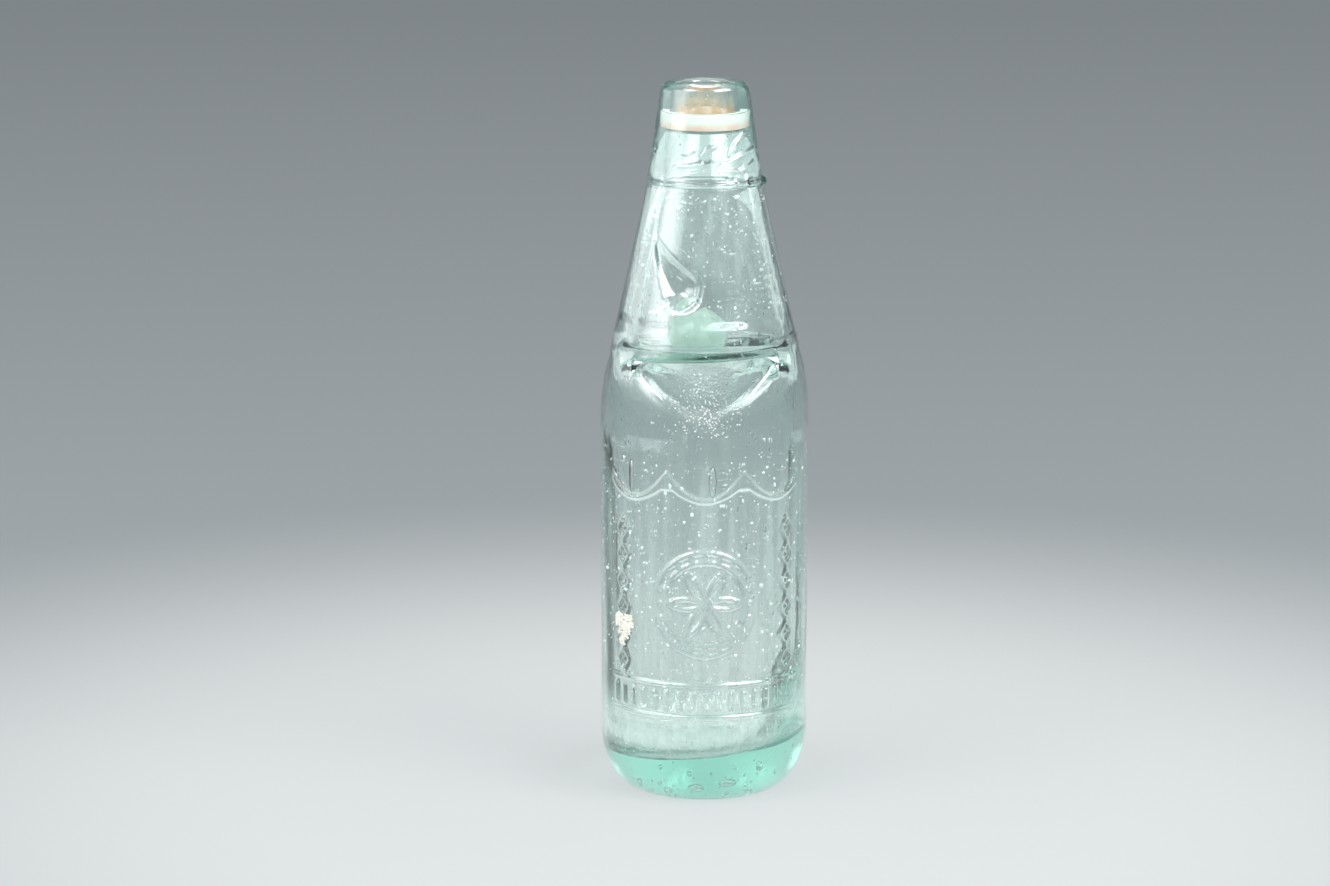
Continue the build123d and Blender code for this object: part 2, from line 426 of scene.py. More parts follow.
def pressOrnament(zone):
    turns, height = np.broadcast_to(zone["turns"], zone["radius"].shape), zone["height"]
    inTurn = smoothStep((ornament["halfTurn"] - np.degrees(np.abs(turns))) / ornament["turnFade"] + 1)
    inHeight = smoothStep((height - ornament["bottom"]) / ornament["bottomFade"] + 1) * smoothStep(
        (ornament["top"] - height) / ornament["topFade"] + 1)
    shape = ornamentAt(turns * glass["bodyRadius"], height)
    shape *= np.abs(turns) < math.radians(ornament["halfTurn"])
    zone["radius"] -= ornament["relief"] * inTurn * inHeight * (1 - shape)


def addMouldSeams(zone):
    # the two halves of the mould leave a fine line up each side
    fromSide = np.abs(np.abs(zone["turns"]) - math.pi / 2) * zone["radius"]
    beside = smoothStep(1 - fromSide / glass["seamSink"])
    line = smoothStep(1 - fromSide / glass["seamRidgeWidth"])
    zone["radius"] -= glass["seamRidge"] * (beside - line)


def addWaves(zone, table, low, high):
    # waves fade out towards the low and the high end
    height, total = zone["height"], 0
    for count, up, phase, size in table["waves"]:
        total = total + size * np.sin(count * zone["turns"] + up * height + phase)
    fade = smoothStep((height - low) / table["lowFade"]) * smoothStep((high - height) / table["highFade"])
    zone["radius"] += fade * (total - table["sunk"])


def addHeavySide(zone):
    # glass that ran down inside and set thick on the right of the heel
    turnOff = (np.degrees(zone["turns"]) - heavySide["turn"]) / heavySide["turnReach"]
    heightOff = (zone["height"] - heavySide["height"]) / heavySide["heightReach"]
    zone["radius"] -= heavySide["extra"] * np.exp(-turnOff ** 2 - heightOff ** 2)


lipFolds = {
    "height": 0.7, "half": 0.5,
    # each fold is a chain of (mm right of the middle, mm above the seam), seen from the front
    "front": (((-0.8, 10.0), (0.8, 11.9), (3.0, 12.6)), ((-6.9, 6.7), (-3.6, 7.0), (-1.4, 7.5)),
              ((7.4, 10.0), (9.1, 13.3), (11.8, 16.3), (13.5, 16.0)),
              ((4.1, 6.4), (8.0, 8.1), (11.3, 9.7), (14.8, 11.4)),
              ((4.4, 5.9), (7.4, 5.1), (10.2, 4.5), (12.9, 5.9), (14.8, 7.3)),
              ((10.2, 4.5), (9.3, 2.3), (10.2, 1.2))),
    "back": (((-9.0, 5.2), (-4.0, 7.0), (1.5, 6.2)), ((3.5, 10.5), (7.0, 9.0), (11.0, 9.6))),
    # drips are (turn, mm above the seam, size, how proud)
    "drips": ((84.0, 0.5, 2.5, 1.15), (-38.0, 0.6, 0.9, 0.35), (150.0, 0.4, 1.1, 0.5)),
    "dripWide": 1.6, "dripFull": 1.7,
}


def pressFolds(zone):
    # laps where the lipping tool folded soft glass, and thick drips that it squeezed out at the seam
    out, up = zone["radius"], zone["height"] - glass["seamHeight"]
    for side, facing in (("front", 0), ("back", math.pi)):
        turn = wrap(zone["turns"] - facing)
        across = out * turn
        for chain in lipFolds[side]:
            for start, end in zip(chain, chain[1:]):
                reach = []
                for x, z in (start, end):
                    girth = np.interp(z, (0, glass["lipHeight"]), (glass["lipWaist"], glass["lipTop"]))
                    reach.append(np.array([girth * math.asin(min(0.98, x / girth)), z]))
                run = reach[1] - reach[0]
                share = np.clip(((across - reach[0][0]) * run[0] + (up - reach[0][1]) * run[1])
                                / (run @ run), 0, 1)
                away = np.hypot(across - reach[0][0] - share * run[0], up - reach[0][1] - share * run[1])
                fold = lipFolds["height"] * smoothStep(1 - away / (2 * lipFolds["half"]))
                folded = np.maximum(zone["radius"], out + fold)
                zone["radius"] = np.where(np.abs(turn) < math.pi / 2, folded, zone["radius"])
    for turn, height, size, proud in lipFolds["drips"]:
        across = wrap(zone["turns"] - math.radians(turn)) * out
        away = np.hypot(across / lipFolds["dripWide"], up - height)
        zone["radius"] = zone["radius"] + proud * smoothStep(lipFolds["dripFull"] * (1 - away / size))


def lipPath():
    top = glass["seamHeight"] + glass["lipHeight"]
    grooveTop = top - glass["grooveDrop"]
    grooveBottom = grooveTop - glass["grooveTall"]
    seam, small = glass["seamHeight"], glass["grooveRound"]
    return roundedPath([
        (glass["neckRadius"], seam - 0.3, 0), (glass["neckRadius"], seam, 0.1),
        (glass["lipBead"], seam + 0.3, 0.2), (glass["lipBead"], seam + 1.1, 0.4),
        (glass["lipWaist"], seam + 1.9, 0.6),
        (glass["lipTop"], top, glass["lipTopRound"]), (glass["mouth"], top, glass["mouthRound"]),
        (glass["mouth"], grooveTop, small), (glass["grooveRadius"], grooveTop, small),
        (glass["grooveRadius"], grooveBottom, small), (glass["retainer"], grooveBottom, small),
        (glass["retainer"], grooveBottom - glass["retainerTall"], small),
        (glass["seatRadius"], grooveBottom - glass["seatDrop"], 1.5),
        (glass["neckBore"] - 0.7, seam + 3, 2.0), (glass["neckBore"], seam, 0),
    ])


def tiltFloor(zone):
    low = smoothStep((60 - zone["height"]) / 40)
    tilt = math.tan(math.radians(glass["floorTilt"]))
    zone["height"] += low * zone["radius"] * np.sin(zone["turns"]) * tilt


def drinkZones(columns, inwards):
    # the wall and floor of the drink space, or a surface that much further in
    cavity, corner = glass["bodyRadius"] - glass["wall"], glass["floorCorner"]
    heights = np.arange(insidePinch["bottom"], glass["floorHeight"] + corner, -fineness["drinkRow"])[1:]
    wall = tube(cavity, heights, spreadTurns(columns))
    floorPath = roundedPath([(cavity, glass["floorHeight"] + corner + 0.1, 0),
                             (cavity, glass["floorHeight"], corner), (2, glass["floorHeight"], 0)], 1)
    floor = spin(finer(floorPath, fineness["floorRow"])[1:], spreadTurns(columns))
    for zone in (wall, floor):
        tiltFloor(zone)
        addWaves(zone, innerWaves, 22, 132)
        addHeavySide(zone)
        zone["radius"] -= inwards * np.clip((zone["height"] - 12) / 8, 0.1, 1)
        zone["height"] += inwards * np.clip((26 - zone["height"]) / 8, 0, 1)
    return wall, floor


def chamberZone(heights, columns, inwards):
    zone = wallZone(heights, True, spreadTurns(columns, [(-28, 45, 0.8)]))
    addWaves(zone, innerWaves, 140, 194)
    pressLug(zone, lug["wall"])
    zone["radius"] -= inwards
    return zone


def buildGlass():
    body, seam = glass["bodyRadius"], glass["seamHeight"]
    contact = body - glass["heelWidth"]
    heel = [(contact + glass["heelWidth"] * math.sin(a), glass["heelHeight"] * (1 - math.cos(a)))
            for a in np.linspace(0, math.pi / 2, 24)]
    kick = [(r, glass["kickHeight"] * (1 - smoothStep(r / glass["kickRadius"])))
            for r in np.linspace(1.5, glass["kickRadius"], 8)]
    base = spin(np.array(kick + heel), spreadTurns(fineness["base"]))
    row, swagTop = fineness["plainRow"], ornament["swagHeight"]
    bodyHeights = np.concatenate([
        np.arange(glass["heelHeight"] + 0.8, ornament["bottom"] - 1, row),
        np.arange(ornament["bottom"] - 0.6, swagTop + 4, fineness["ornamentRow"]),
        np.arange(swagTop + 4.8, outsidePinch["bottom"] - 0.6, row)])
    bodyWall = wallZone(bodyHeights, False, spreadTurns(fineness["bodyWall"], [(0, 63, 3.4)]))
    addWaves(bodyWall, outerWaves, 20, 120)
    pressOrnament(bodyWall)
    # the ends of the ledges are the tightest folds
    crowded = [(0, 56, 0.6), (180, 56, 0.6)] + [(turn, 9, 2.0) for turn in (48, -48, 132, -132)]
    outerWaist = waist(spreadTurns(fineness["waist"], crowded), outsidePinch, False)
    coneHeights = np.arange(outsidePinch["top"] + 1, seam - 0.5, fineness["coneRow"])
    cone = wallZone(coneHeights, False, spreadTurns(fineness["cone"], [(-28, 38, 1.4)]))
    addWaves(cone, outerWaves, 146, 194)
    pressLug(cone, 0)
    lip = finer(lipPath(), fineness["lipRow"])
    topRow = int(np.argmax(lip[:, 1])) - 3
    lipOutside = spin(lip[:topRow], spreadTurns(fineness["lip"], [(40, 62, 1.9)]))
    pressFolds(lipOutside)
    lipInside = spin(finer(lip[topRow:], fineness["boreRow"]), spreadTurns(fineness["bore"]))
    row = fineness["chamberRow"]
    chamber = chamberZone(np.arange(seam - row, insidePinch["top"] + 0.5, -row), fineness["chamber"], 0)
    innerTurns = spreadTurns(fineness["innerWaist"], [(0, 65, 0.5), (180, 65, 0.5)])
    innerWaist = reverseRows(waist(innerTurns, insidePinch, True))
    for zone in (base, bodyWall, outerWaist, cone):
        addMouldSeams(zone)
    zones = [base, bodyWall, outerWaist, cone, lipOutside, lipInside, chamber, innerWaist]
    zones += drinkZones(fineness["drink"], 0)
    points, faces = closedShell(zones, glass["kickHeight"], glass["floorHeight"])
    print("glass points", len(points), "faces", len(faces))
    return points, faces


# Air bubbles in the glass: seeds in the walls, drawn out upwards as the glass was blown, two long
# blisters in the front, and rounder bubbles in the thick base
bubbles = {
    "seed": 41, "seeds": 200, "seedRadius": (0.15, 0.55), "seedSpread": 0.1,
    "seedStretch": (1.0, 2.6), "seedHeights": (26, 190), "seedDepths": (0.35, 0.62),
    "waist": (116, 152), "lugWindow": (30, 186), "lipSeeds": 30, "lipHeights": (198, 209),
    "lipRadius": (0.12, 0.3), "lipDepths": (1.2, 3.2), "lipStretch": 1.3,
    "baseBubbles": 34, "baseRadius": (0.25, 0.9), "baseSpread": 0.2, "baseReach": 19.0,
    "baseHeights": (5, 10.5), "blisterOut": 30.7,
    # blisters are (turn, height, width, depth, half length), flat ones (x, height, y, size)
    "blisters": ((4.2, 104.5, 1.2, 0.3, 5.2), (-47.0, 105.0, 1.0, 0.3, 5.4)),
    "flatBlisters": ((6.0, 8.0, -14.0, 2.6), (-2.0, 7.0, -12.0, 2.1), (11.0, 6.0, -8.0, 1.8),
                     (-9.0, 6.4, -10.0, 1.5)),
}


def ballMesh(splits):
    shape = bmesh.new()
    bmesh.ops.create_icosphere(shape, subdivisions=splits, radius=1)
    shape.verts.ensure_lookup_table()
    points = np.array([tuple(v.co) for v in shape.verts])
    faces = [tuple(v.index for v in f.verts) for f in shape.faces]
    shape.free()
    return points, faces


def addBalls(points, faces, balls, splits, flip):
    # balls are (centre, half sizes out, round and up); flip turns them inside out, to hold air
    shape, shapeFaces = ballMesh(splits)
    for centre, (outHalf, roundHalf, upHalf) in balls:
        turn = math.atan2(centre[0], -centre[1])
        out = np.array([math.sin(turn), -math.cos(turn), 0])
        beside = np.array([math.cos(turn), math.sin(turn), 0])
        local = shape * np.array([outHalf, roundHalf, upHalf])
        placed = np.array(centre) + local[:, :1] * out + local[:, 1:2] * beside
        placed[:, 2] += local[:, 2]
        first = len(points)
        points += placed.tolist()
        faces += [tuple(first + k for k in (face[::-1] if flip else face)) for face in shapeFaces]


def onWall(turn, height, out):
    return (out * math.sin(turn), -out * math.cos(turn), height)


def addBubbles(points, faces):
    draw = np.random.default_rng(bubbles["seed"])
    balls = []
    while len(balls) < bubbles["seeds"]:
        turn, height = draw.uniform(-math.pi, math.pi), draw.uniform(*bubbles["seedHeights"])
        size = bubbles["seedRadius"][0] + draw.exponential(bubbles["seedSpread"])
        stretch = draw.uniform(*bubbles["seedStretch"])
        depth = draw.uniform(*bubbles["seedDepths"])
        inWaist = bubbles["waist"][0] < height < bubbles["waist"][1]
        tooBig = size > bubbles["seedRadius"][1]
        if inWaist or tooBig or nearLug(turn, height, bubbles["lugWindow"]):
            continue
        outer, inner = wallAt(height, False) - ornament["relief"], wallAt(height, True) + 0.5
        out = inner + (outer - inner) * depth
        balls.append((onWall(turn, height, out), (size, size, size * stretch)))
    for _ in range(bubbles["lipSeeds"]):
        height = draw.uniform(*bubbles["lipHeights"])
        outer = np.interp(height, (196, 226), (glass["lipWaist"], glass["lipTop"]))
        size = draw.uniform(*bubbles["lipRadius"])
        turn = draw.uniform(-math.pi, math.pi)
        balls.append((onWall(turn, height, outer - draw.uniform(*bubbles["lipDepths"])),
                      (size, size, size * bubbles["lipStretch"])))
    addBalls(points, faces, balls, 1, True)
    balls = []
    for _ in range(bubbles["baseBubbles"]):
        out, turn = bubbles["baseReach"] * math.sqrt(draw.uniform()), draw.uniform(-math.pi, math.pi)
        size = min(bubbles["baseRadius"][0] + draw.exponential(bubbles["baseSpread"]),
                   bubbles["baseRadius"][1])
        balls.append((onWall(turn, draw.uniform(*bubbles["baseHeights"]), out), (size, size, size)))
    for turn, height, width, depth, tall in bubbles["blisters"]:
        balls.append((onWall(math.radians(turn), height, bubbles["blisterOut"]), (depth, width, tall)))
    for x, height, y, half in bubbles["flatBlisters"]:
        balls.append(((x, y, height), (half * 0.6, half, half * 0.36)))
    addBalls(points, faces, balls, 2, True)
    print("bubbles added")


def aquaGlassMaterial():
    # Soda-lime glass, blown in an iron mould: clear, with an aqua tint that deepens with its
    # thickness, so the walls look pale and the base and the rims look green. The mould left the
    # outside softly wavy and finely pitted, and years of use gave it a faint haze.
    look = {"ior": 1.51, "roughness": 0.035, "tint": "#FBFEFD", "depthTint": "#55E7D0",
            "depthDensity": 19, "haze": 1.0, "hazeRoughness": 0.22, "lampShare": 0.97,
            "waveSize": 9, "waveDeep": 0.12,
            "streakWidth": 2.2, "streakLength": 40, "streakDeep": 0.05,
            "pitSpacing": 2.1, "pitRadius": 0.4, "pitDeep": 0.16, "pitShare": 0.45,
            "rampGrain": 0.9, "rampDeep": 0.1, "rampHeight": 127.5, "rampReach": (15, 12),
            # shares of that reach
            "rampFull": 0.6, "rampEnd": 1.05}
    material, add, place = newMaterial("aquaSodaLimeGlassBlown")
    wave = add("TexNoise", {"Scale": 1 / (look["waveSize"] * mm), "Detail": 2.0}, {"Vector": place})
    tall = add("VectorMath", {
        "operation": "MULTIPLY", 1: (1, 1, look["streakWidth"] / look["streakLength"])}, {0: place})
    streak = add("TexNoise", {"Scale": 1 / (look["streakWidth"] * mm), "Detail": 2.0}, {"Vector": tall})
    pits = add("TexVoronoi", {"Scale": 1 / (look["pitSpacing"] * mm), "Randomness": 1.0},
               {"Vector": place})
    pitShape = add("MapRange", smooth | {
        "From Min": 0.0, "From Max": look["pitRadius"] / look["pitSpacing"],
        "To Min": -1.0, "To Max": 0.0}, {"Value": pits.outputs["Distance"]})
    pitPick = add("SeparateXYZ", links={0: pits.outputs["Color"]})
    pitChosen = add("Math", {"operation": "LESS_THAN", 1: look["pitShare"]}, {0: pitPick.outputs["X"]})
    pit = add("Math", multiply, {0: pitShape, 1: pitChosen})
    parts = add("SeparateXYZ", links={0: place})
    aside = add("Math", {
        "operation": "MULTIPLY", 1: 1 / (look["rampReach"][0] * mm)}, {0: parts.outputs["X"]})
    lifted = add("Math", {"operation": "SUBTRACT", 1: look["rampHeight"] * mm}, {0: parts.outputs["Z"]})
    above = add("Math", {"operation": "MULTIPLY", 1: 1 / (look["rampReach"][1] * mm)}, {0: lifted})
    away = add("CombineXYZ", links={0: aside, 1: above})
    offRamp = add("VectorMath", {"operation": "LENGTH"}, {0: away})
    onRamp = add("MapRange", smooth | {"From Min": look["rampEnd"], "From Max": look["rampFull"]},
                 {"Value": offRamp.outputs["Value"]})
    grain = add("TexNoise", {"Scale": 1 / (look["rampGrain"] * mm), "Detail": 3.0}, {"Vector": place})
    rampGrain = add("Math", multiply, {0: grain, 1: onRamp})
    bump = None
    for source, deep in ((wave, look["waveDeep"]), (streak, look["streakDeep"]),
                         (pit, look["pitDeep"]), (rampGrain, look["rampDeep"])):
        links = {"Height": source}
        if bump:
            links["Normal"] = bump
        bump = add("Bump", {"Strength": 1.0, "Distance": deep * mm}, links)
    surface = add("BsdfPrincipled", {
        "Base Color": linear(look["tint"]), "IOR": look["ior"], "Transmission Weight": 1.0,
        "Roughness": look["roughness"], "Coat Weight": look["haze"],
        "Coat Roughness": look["hazeRoughness"]},
        {"Normal": bump})
    depth = add("VolumeAbsorption", {"Color": linear(look["depthTint"]), "Density": look["depthDensity"]})
    # lamps shine through to what the bottle holds and to the floor
    rays = add("LightPath")
    carries = add("Math", {"operation": "MAXIMUM"}, {
        0: rays.outputs["Is Shadow Ray"], 1: rays.outputs["Is Diffuse Ray"]})
    passed = add("BsdfTransparent", {"Color": (look["lampShare"],) * 3 + (1,)})
    both = add("MixShader", links={0: carries, 1: surface, 2: passed})
    add("OutputMaterial", links={"Surface": both, "Volume": depth})
    return material


glassPoints, glassFaces = buildGlass()
addBubbles(glassPoints, glassFaces)
glassPiece = meshPiece("glass", glassPoints, glassFaces, aquaGlassMaterial())
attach(glassPiece, "bottle")
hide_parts("glass_body", "applied_lip")
print("glass built")


# What years of use left in the bottle and on it

def grainyMaterial(name, look):
    # two colours that a fine noise mixes, on a plain surface
    material, add, place = newMaterial(name)
    cloud = add("TexNoise", {
        "Scale": 1 / (look["grainSize"] * mm), "Detail": look["grainDetail"]}, {"Vector": place})
    mixed = add("ValToRGB", {
        "stops": ((look["shadeAt"], look["shade"]), (look["colourAt"], look["colour"]))}, {0: cloud})
    surface = add("BsdfPrincipled", {"Roughness": look["roughness"]}, {"Base Color": mixed})
    add("OutputMaterial", links={"Surface": surface})
    return material


film = {
    "sunk": 0.05, "thick": 0.04, "colour": "#ECF3F0", "roughness": 0.75, "everywhere": 0.04,
    "bandShare": 0.48, "bandLow": 15.0, "bandFull": 20.0, "bandHigh": 36.0, "blotchSize": 7.0,
    "streakWidth": 3.0, "streakLength": 45.0, "streakShare": 0.14,
    "speckSpacing": 2.6, "speckRadius": 0.4, "speckPick": 0.55, "speckShare": 0.9,
    "neckLow": 152.0, "neckHigh": 193.0, "ends": (117.0, 152.0), "endFade": 25.0,
}


def mineralFilmMaterial():
    # Lime dried on the inside from hard water: a thin matte bloom with pale specks, thickest in a
    # band over the floor, thin and streaked above it. The specks are drawn coarser than the real
    # ones, so that they show.
    material, add, place = newMaterial("limeFilmDried")
    height = add("SeparateXYZ", links={0: place}).outputs["Z"]
    rise, fall = [add("MapRange", smooth | {
        "From Min": film[key] * mm, "From Max": film["bandFull"] * mm}, {"Value": height})
        for key in ("bandLow", "bandHigh")]
    blotch = add("TexNoise", {
        "Scale": 1 / (film["blotchSize"] * mm), "Detail": 6.0, "Roughness": 0.65}, {"Vector": place})
    blotchy = add("MapRange", {"From Min": 0.35, "From Max": 0.68, "To Min": 0.35}, {"Value": blotch})
    patchy = rise
    for mask in (fall, blotchy):
        patchy = add("Math", multiply, {0: patchy, 1: mask})
    tall = add("VectorMath", {
        "operation": "MULTIPLY", 1: (1, 1, film["streakWidth"] / film["streakLength"])}, {0: place})
    streak = add("TexNoise", {"Scale": 1 / (film["streakWidth"] * mm), "Detail": 4.0}, {"Vector": tall})
    streaky = add("MapRange", {
        "From Min": 0.45, "From Max": 0.75, "To Min": film["everywhere"],
        "To Max": film["everywhere"] + film["streakShare"]}, {"Value": streak})
    bloom = add("Math", {"operation": "MULTIPLY_ADD", 1: film["bandShare"]}, {0: patchy, 2: streaky})
    cells = add("TexVoronoi", {"Scale": 1 / (film["speckSpacing"] * mm)}, {"Vector": place})
    spot = add("MapRange", {
        "From Min": film["speckRadius"] / film["speckSpacing"], "From Max": 0.0,
        "To Max": film["speckShare"] * 1.6}, {"Value": cells.outputs["Distance"]})
    pick = add("SeparateXYZ", links={0: cells.outputs["Color"]})
    chosen = add("Math", {"operation": "LESS_THAN", 1: film["speckPick"]}, {0: pick.outputs["X"]})
    speck = add("Math", multiply, {0: spot, 1: chosen})
    most = add("Math", {"operation": "MAXIMUM", "use_clamp": True}, {0: bloom, 1: speck})
    # nothing shows where the two sleeves end, under the waist and over it
    middle = sum(film["ends"]) / 2
    fromMiddle = add("Math", {"operation": "SUBTRACT", 1: middle * mm}, {0: height})
    away = add("Math", {"operation": "ABSOLUTE"}, {0: fromMiddle})
    atEnd = film["ends"][1] - middle
    fade = add("MapRange", smooth | {
        "From Min": atEnd * mm, "From Max": (atEnd + film["endFade"]) * mm}, {"Value": away})
    share = add("Math", multiply, {0: most, 1: fade})
    surface = add("BsdfPrincipled", {
        "Base Color": linear(film["colour"]), "Roughness": film["roughness"], "Specular IOR Level": 0.2},
        {"Alpha": share})
    add("OutputMaterial", links={"Surface": surface})
    return material


def sleeve(outside, inside):
    # a thin closed sleeve between two surfaces with the same rows and turns
    loop = {key: np.concatenate([outside[key], inside[key][::-1]]) for key in ("radius", "height")}
    points = zonePoints(outside["turns"], **loop)
    index = np.arange(len(points)).reshape(loop["radius"].shape)
    beside, above = np.roll(index, -1, axis=1), np.roll(index, -1, axis=0)
    faces = np.stack([index, above, np.roll(above, -1, axis=1), beside], axis=2).reshape(-1, 4).tolist()
    return points, faces


def buildFilm():
    deep, columns = -film["sunk"] - film["thick"], fineness["film"]
    outWall, outFloor = drinkZones(columns, deep)
    inWall, inFloor = drinkZones(columns, -film["sunk"])
    zones = [reverseRows(outFloor), reverseRows(outWall), inWall, inFloor]
    low = glass["floorHeight"] - film["sunk"]
    points, faces = closedShell(zones, low - film["thick"], low)
    heights = np.arange(film["neckLow"], film["neckHigh"], fineness["filmRow"])
    neckPoints, neckFaces = sleeve(chamberZone(heights, columns, deep),
                                   chamberZone(heights, columns, -film["sunk"]))
    faces += [tuple(len(points) + k for k in face) for face in neckFaces]
    piece = meshPiece("lime_film", list(points) + neckPoints, faces, mineralFilmMaterial())
    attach(piece, "bottle")
    print("film built")


buildFilm()


# Painted glints: hard grains drawn as dried lime, bright, nearly white, with a slight sheen, that stand
# in for the sparkle off pits and seeds. Ramp heights are a mean and its spread.
grains = {
    "count": 1200, "onRamp": 240, "seed": 19, "radius": 0.18, "spread": 0.13, "largest": 0.6,
    "bodyHeights": (30, 114), "neckHeights": (153, 191), "lugWindow": (26, 184),
    "rampHeight": (126, 4.5), "rampTurn": 0.17, "rampEnds": (118, 137),
    # painted glints: near white, so that the grains read as sparkle
    "colour": "#FBFDFC", "colourAt": 0.5, "shade": "#DDE7E4", "shadeAt": 0.0,
    "grainSize": 0.4, "grainDetail": 2.0, "roughness": 0.5,
}


def buildGlintGrains():
    # painted glints: grains sit on the inside wall, half in the bloom, and finer ones outside at the foot
    # of the ramp
    draw = np.random.default_rng(grains["seed"])
    count = grains["count"]
    inBody = count * 2 // 3
    turns = draw.uniform(-math.pi, math.pi, count)
    heights = np.concatenate([draw.uniform(*grains["bodyHeights"], inBody),
                              draw.uniform(*grains["neckHeights"], count - inBody)])
    zone = {"turns": turns, "radius": wallAt(heights, True)[None, :], "height": heights[None, :]}
    addWaves(zone, innerWaves, 22, 132)
    addHeavySide(zone)
    sizes = np.minimum(grains["radius"] + draw.exponential(grains["spread"], count), grains["largest"])
    points, faces, balls = [], [], []
    for turn, height, out, size in zip(turns, heights, zone["radius"][0], sizes):
        if not nearLug(turn, height, grains["lugWindow"]):
            balls.append((onWall(turn, height, out), (size * 0.7, size, size * draw.uniform(0.8, 1.4))))
    for _ in range(grains["onRamp"]):
        height, size = draw.normal(*grains["rampHeight"]), grains["radius"] * draw.uniform(0.7, 1.4)
        turn = draw.normal(0, grains["rampTurn"])
        if grains["rampEnds"][0] < height < grains["rampEnds"][1]:
            nose = noseReach(turn, height, outsidePinch)
            out = smoothMin(wallAt(height, False), nose, outsidePinch["edgeSoft"])
            out = min(float(out), glass["bodyRadius"] - size)
            balls.append((onWall(turn, height, out), (size, size, size)))
    # painted glints: white grains placed where the glass should sparkle
    addBalls(points, faces, balls, 1, False)
    piece = meshPiece("painted_glint_grains", points, faces, grainyMaterial("glintGrainsPainted", grains))
    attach(piece, "bottle")
    print("grains built")


buildGlintGrains()


# Lime and dirt grown on the outside as a crust: matte cream grains with brown between them.
crust = {
    "turn": -52.0, "height": 55.5,
    "lobes": ((-2.2, 2.4, 2.6), (2.3, 2.7, 2.5), (0.2, -0.8, 2.9), (-0.4, -4.0, 1.6)),
    "grains": 260, "grainRadius": (0.25, 0.6), "seed": 7,
    "colour": "#FAF7EF", "colourAt": 0.48, "shade": "#C3B69E", "shadeAt": 0.3,
    "grainSize": 0.5, "grainDetail": 5.0, "roughness": 0.6,
}


def buildCrust():
    draw = np.random.default_rng(crust["seed"])
    points, faces, balls = [], [], []
    while len(balls) < crust["grains"]:
        across, up = draw.uniform(-5, 5), draw.uniform(-6, 5.5)
        inLobe = any(math.hypot(across - x, up - z) < reach * draw.uniform(0.75, 1.1)
                     for x, z, reach in crust["lobes"])
        if not inLobe:
            continue
        size = draw.uniform(*crust["grainRadius"])
        turn = math.radians(crust["turn"]) + across / glass["bodyRadius"]
        out = glass["bodyRadius"] - ornament["relief"] - 0.05 + size / 4
        halves = (size * 0.6, size, size * draw.uniform(0.7, 1.3))
        balls.append((onWall(turn, crust["height"] + up, out), halves))
    addBalls(points, faces, balls, 1, False)
    piece = meshPiece("lime_crust", points, faces, grainyMaterial("limeCrustGrown", crust))
    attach(piece, "bottle")
    print("crust built")


buildCrust()


stain = {
    "low": 215.85, "high": 222.5, "sunk": 0.06, "thick": 0.05, "colour": "#E0B189", "pale": "#D9CFC0",
    "fullHeight": 216.9, "upFade": 3.0, "topFade": 2.5, "patchSize": 3.0, "most": 0.72, "streaks": 0.34,
    "halfWidth": 7.3, "sideFade": 2.2, "stretch": 0.25,
}


def stainMaterial():
    # Rust and perished rubber smeared over the bore above the ring: brown-orange and matte where it
    # is thick, and drawn up into thin pale streaks.
    material, add, place = newMaterial("rubberStainSmeared")
    height = add("SeparateXYZ", links={0: place}).outputs["Z"]
    low = add("MapRange", smooth | {
        "From Min": (stain["fullHeight"] + stain["upFade"]) * mm, "From Max": stain["fullHeight"] * mm,
        "To Min": stain["streaks"], "To Max": stain["most"]}, {"Value": height})
    top = add("MapRange", smooth | {
        "From Min": stain["high"] * mm, "From Max": (stain["high"] - stain["topFade"]) * mm},
        {"Value": height})
    tall = add("VectorMath", {"operation": "MULTIPLY", 1: (1, 1, stain["stretch"])}, {0: place})
    patch = add("TexNoise", {"Scale": 1 / (stain["patchSize"] * mm), "Detail": 4.0}, {"Vector": tall})
    patchy = add("MapRange", {"From Min": 0.3, "From Max": 0.6, "To Min": 0.35}, {"Value": patch})
    # only the front and back of the bore are stained
    across = add("SeparateXYZ", links={0: place}).outputs["X"]
    aside = add("Math", {"operation": "ABSOLUTE"}, {0: across})
    inMiddle = add("MapRange", smooth | {
        "From Min": stain["halfWidth"] * mm,
        "From Max": (stain["halfWidth"] - stain["sideFade"]) * mm}, {"Value": aside})
    share = low
    for mask in (patchy, top, inMiddle):
        share = add("Math", multiply, {0: share, 1: mask})
    stops = ((stain["streaks"], stain["pale"]), (stain["most"], stain["colour"]))
    mixed = add("ValToRGB", {"stops": stops}, {0: low})
    surface = add("BsdfPrincipled", {"Roughness": 0.8, "Specular IOR Level": 0.2},
                  {"Base Color": mixed, "Alpha": share})
    add("OutputMaterial", links={"Surface": surface})
    return material


def buildStain():
    outside = glass["mouth"] + stain["sunk"]
    inside = outside - stain["thick"]
    heights = np.linspace(stain["low"], stain["high"], fineness["stainRows"])
    turns = spreadTurns(fineness["stain"])
    points, faces = sleeve(tube(outside, heights, turns), tube(inside, heights, turns))
    piece = meshPiece("bore_stain", points, faces, stainMaterial())
    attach(piece, "bottle")
    print("stain built")


buildStain()


# The marble

